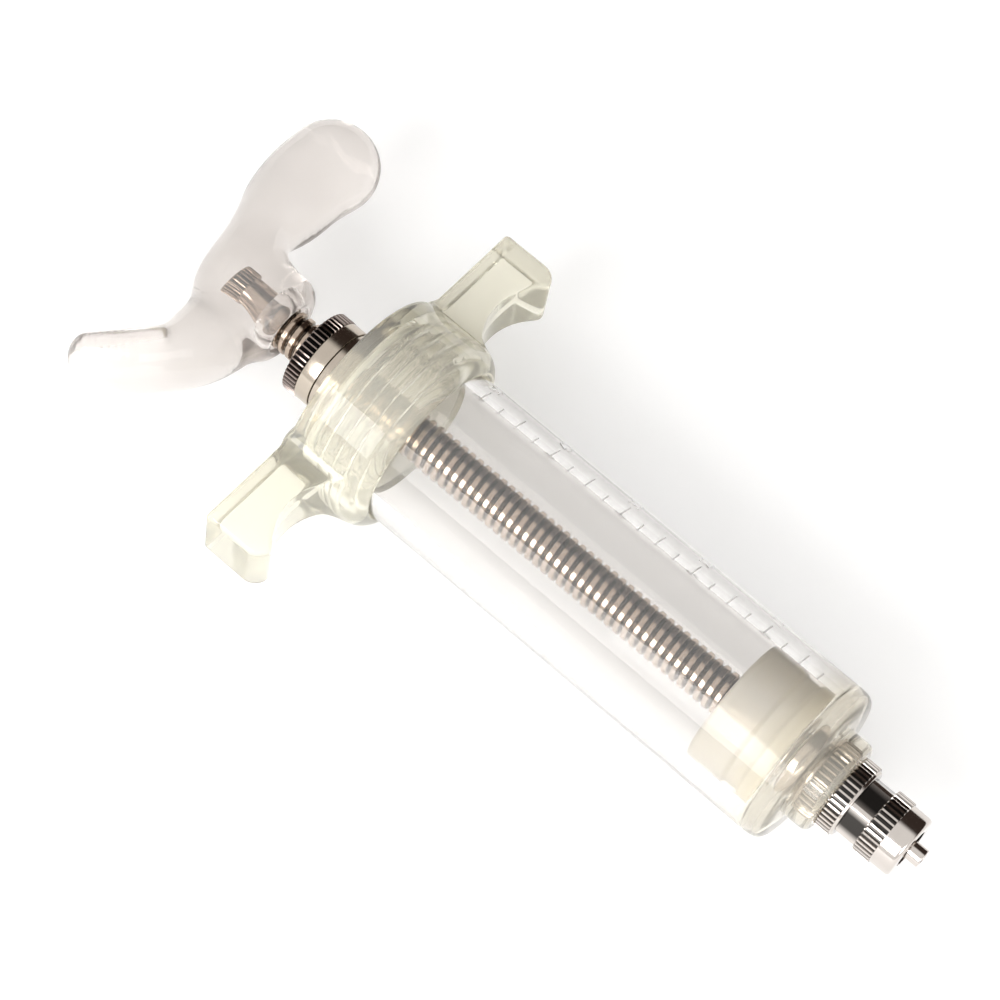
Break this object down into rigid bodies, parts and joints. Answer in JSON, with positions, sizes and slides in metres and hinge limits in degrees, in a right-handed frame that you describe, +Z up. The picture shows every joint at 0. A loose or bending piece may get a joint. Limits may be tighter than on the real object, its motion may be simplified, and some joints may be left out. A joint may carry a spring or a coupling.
{
  "type": "meat injector",
  "caption": "Refillable meat injector: clear screw-cap syringe with finger wings, threaded plunger rod, dose nut, palm handle and knurled Luer-lock tip.",
  "frame": {"origin": "centre of the end face of the Luer tip", "axes": "+X along the injector's axis, out of the tip, with the injector along -X; finger wings along +Y and -Y; +Z up, square to the wings"},
  "size_m": [0.1911, 0.0877, 0.0434],
  "materials": {
    "clear_barrel": "clear, slightly milky moulded plastic",
    "raised_marks": "raised moulded marks, frosted",
    "insert_metal": "plated brass, moulded in",
    "white_seal": "pale silicone",
    "clear_cap": "clear cream-tinted moulded plastic",
    "bush_metal": "nickel-plated, polished",
    "piston_silicone": "translucent cream silicone",
    "hub_metal": "turned steel",
    "spacer_plastic": "pale plastic",
    "rod_metal": "nickel-plated thread",
    "clear_handle": "clear moulded plastic",
    "collar_metal": "nickel-plated, smooth",
    "nut_metal": "nickel-plated, knurled",
    "black_seal": "black rubber",
    "fitting_metal": "nickel-plated, polished"
  },
  "bodies": {
    "barrel": {"barrel": "clear_barrel", "scale_marks": "raised_marks", "nose_insert": "insert_metal"},
    "cap_seal": {"cap_gasket": "white_seal"},
    "cap": {"finger_cap": "clear_cap", "guide_bush": "bush_metal"},
    "piston": {"piston_seal": "piston_silicone", "piston_hub": "hub_metal", "piston_spacer": "spacer_plastic"},
    "plunger": {"plunger_rod": "rod_metal", "piston_nut": "hub_metal", "handle": "clear_handle"},
    "stop": {"stop_collar": "collar_metal"},
    "nut": {"dose_nut": "nut_metal"},
    "front_seal": {"fitting_seal": "black_seal"},
    "fitting": {"luer_fitting": "fitting_metal", "lock_collar": "fitting_metal"}
  },
  "joints": [
    {"name": "cap_back_off", "type": "slide", "parent": "barrel", "child": "cap_seal", "axis": [-1, 0, 0], "range_m": [0, 0.009]},
    {"name": "cap_turn", "type": "hinge", "parent": "cap_seal", "child": "cap", "pos_m": [-0.14, 0, 0], "axis": [-1, 0, 0], "range_deg": [0, 1080.1]},
    {"name": "plunger_slide", "type": "slide", "parent": "cap", "child": "piston", "axis": [-1, 0, 0], "range_m": [0, 0.091]},
    {"name": "rod_turn", "type": "hinge", "parent": "piston", "child": "plunger", "pos_m": [-0.047, 0, 0], "axis": [1, 0, 0], "continuous": true},
    {"name": "nut_travel", "type": "slide", "parent": "plunger", "child": "stop", "axis": [-1, 0, 0], "range_m": [0, 0.006]},
    {"name": "nut_turn", "type": "hinge", "parent": "stop", "child": "nut", "pos_m": [-0.153, 0, 0], "axis": [-1, 0, 0], "range_deg": [0, 1080.1]},
    {"name": "fitting_back_off", "type": "slide", "parent": "barrel", "child": "front_seal", "axis": [1, 0, 0], "range_m": [0, 0.006]},
    {"name": "fitting_turn", "type": "hinge", "parent": "front_seal", "child": "fitting", "pos_m": [-0.02, 0, 0], "axis": [1, 0, 0], "range_deg": [0, 1440.1]}
  ],
  "couplings": [
    {"joint": "cap_turn", "follows": "cap_back_off", "rad_per_m": 2094.4},
    {"joint": "nut_turn", "follows": "nut_travel", "rad_per_m": 3141.6},
    {"joint": "fitting_turn", "follows": "fitting_back_off", "rad_per_m": 4188.8}
  ]
}
